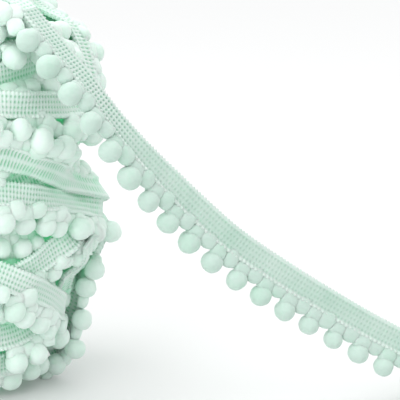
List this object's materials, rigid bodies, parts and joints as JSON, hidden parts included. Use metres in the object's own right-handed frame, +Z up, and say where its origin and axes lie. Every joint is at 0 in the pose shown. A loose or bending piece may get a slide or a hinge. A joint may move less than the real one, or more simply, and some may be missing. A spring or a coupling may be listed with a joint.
{
  "type": "wound pompom fringe trim",
  "caption": "Mint pompom fringe trim wound into a standing bundle, with one loose end that sags to the surface; edging for clothes, cushions and curtains.",
  "frame": {"origin": "middle of the flat spot that the bundle stands on", "axes": "+Z up through the bundle, +X the way the loose end runs out, -Y the side that the loose tape's face looks towards"},
  "size_m": [0.1932, 0.0732, 0.1056],
  "materials": {
    "wound_trim": "wound turns of mint knitted tape and pompoms, matte",
    "heading_tape": "mint knitted heading tape with open ribs and a picot edge, matte",
    "pompom_yarn": "dense mint cut-yarn pile, soft and matte"
  },
  "bodies": {
    "root": {"wound_bundle": "wound_trim", "loose_tape": "heading_tape", "pompom_01": "pompom_yarn", "pompom_02": "pompom_yarn", "pompom_03": "pompom_yarn", "pompom_04": "pompom_yarn", "pompom_05": "pompom_yarn", "pompom_06": "pompom_yarn", "pompom_07": "pompom_yarn", "pompom_08": "pompom_yarn", "pompom_09": "pompom_yarn", "pompom_10": "pompom_yarn", "pompom_11": "pompom_yarn", "pompom_12": "pompom_yarn", "pompom_13": "pompom_yarn", "pompom_14": "pompom_yarn", "pompom_15": "pompom_yarn", "pompom_16": "pompom_yarn", "pompom_17": "pompom_yarn", "pompom_18": "pompom_yarn", "pompom_19": "pompom_yarn", "pompom_20": "pompom_yarn", "pompom_21": "pompom_yarn", "pompom_22": "pompom_yarn", "pompom_23": "pompom_yarn"}
  },
  "joints": []
}
